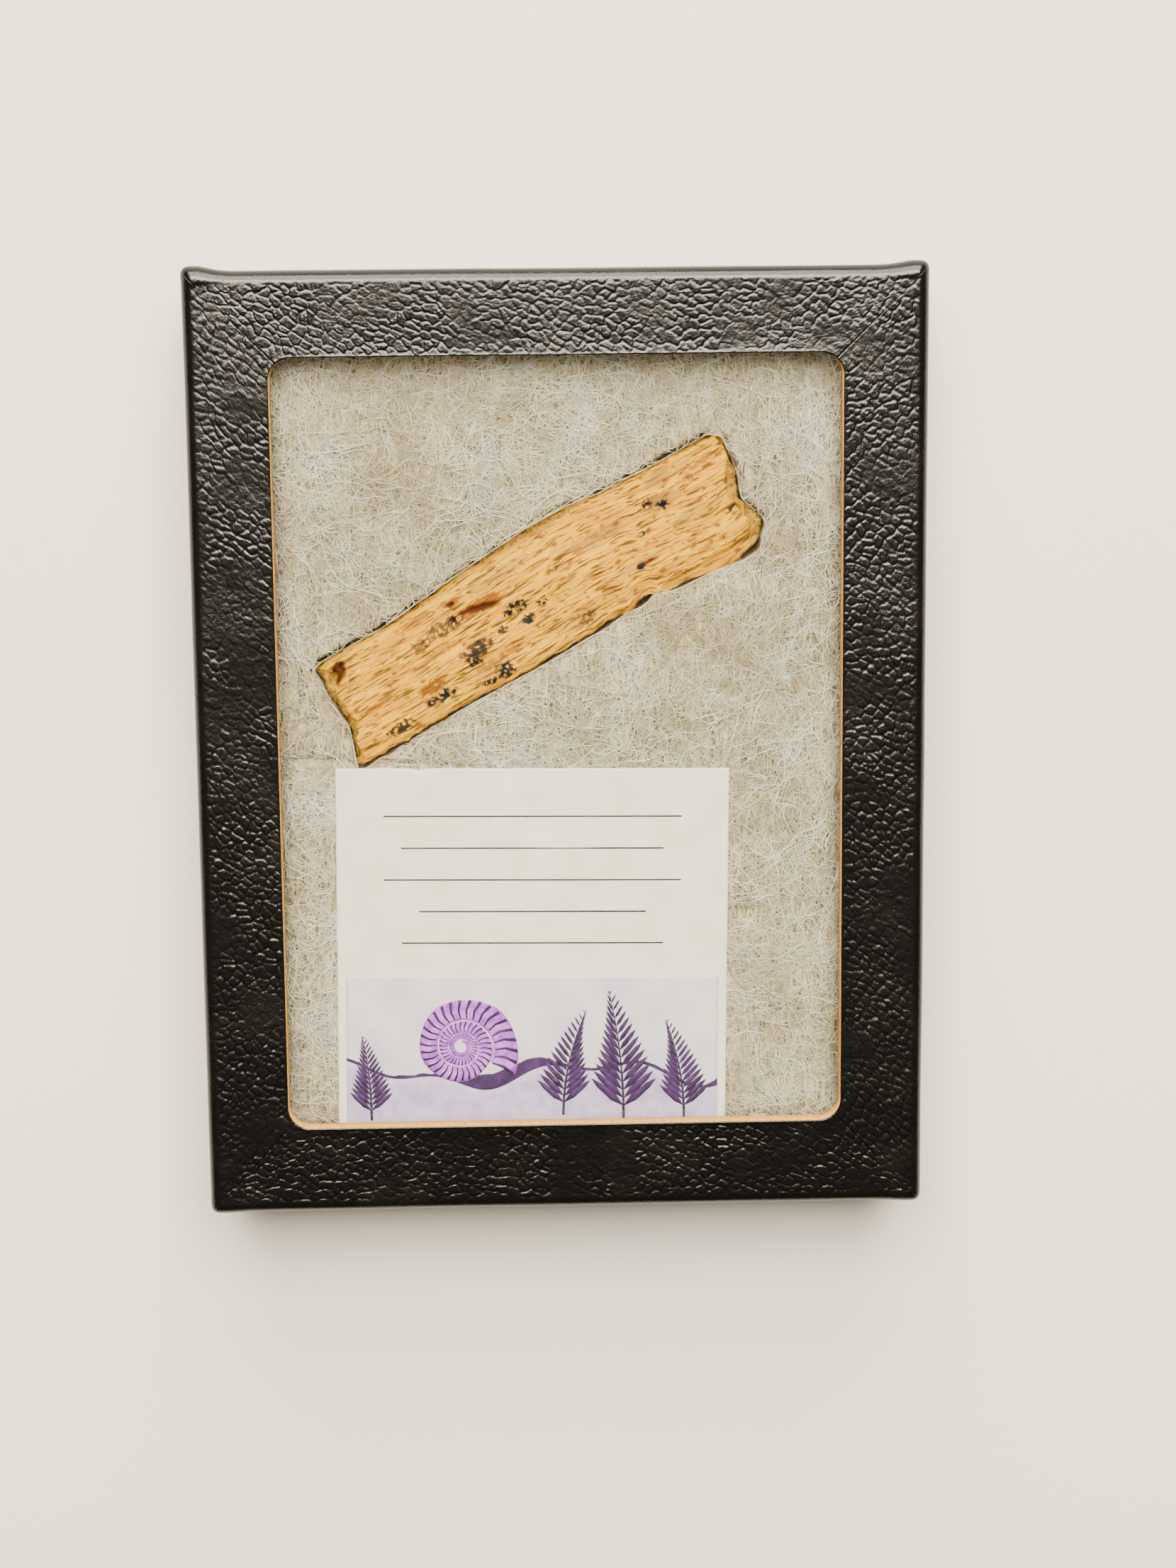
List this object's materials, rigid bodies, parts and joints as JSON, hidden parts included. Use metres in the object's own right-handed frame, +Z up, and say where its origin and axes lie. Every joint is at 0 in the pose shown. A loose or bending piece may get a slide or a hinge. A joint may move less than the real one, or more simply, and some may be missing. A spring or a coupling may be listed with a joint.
{
  "type": "fossil bone fragment in a display box",
  "caption": "Fossil bone fragment lying on fibre batting with a label card in a flat black paper-covered box with a glass window in its lid.",
  "frame": {"origin": "middle of the underside of the tray, on the surface that the box lies on", "axes": "+Z up out of the window, +Y along the box's long side towards the top of the display, +X to the right"},
  "size_m": [0.0834, 0.1076, 0.019],
  "materials": {
    "box_paper": "matt black paper over board",
    "lid_paper": "black leather-grain embossed paper over board, satin",
    "board_edge": "raw cut tan board edge",
    "glass": "clear window glass",
    "polyester_fibre": "white polyester fibre batting, warmed by the light",
    "fossil_bone": "ochre mineralised bone with dark manganese specks and rust stains",
    "card": "cream matt card with a printed panel",
    "pin_steel": "nickel-plated steel wire"
  },
  "bodies": {
    "root": {"tray": "box_paper", "lid": "lid_paper", "glass_pane": "glass", "fibre_pad": "polyester_fibre", "bone_fragment": "fossil_bone", "label_card": "card", "pin_left": "pin_steel", "pin_right": "pin_steel"}
  },
  "joints": []
}
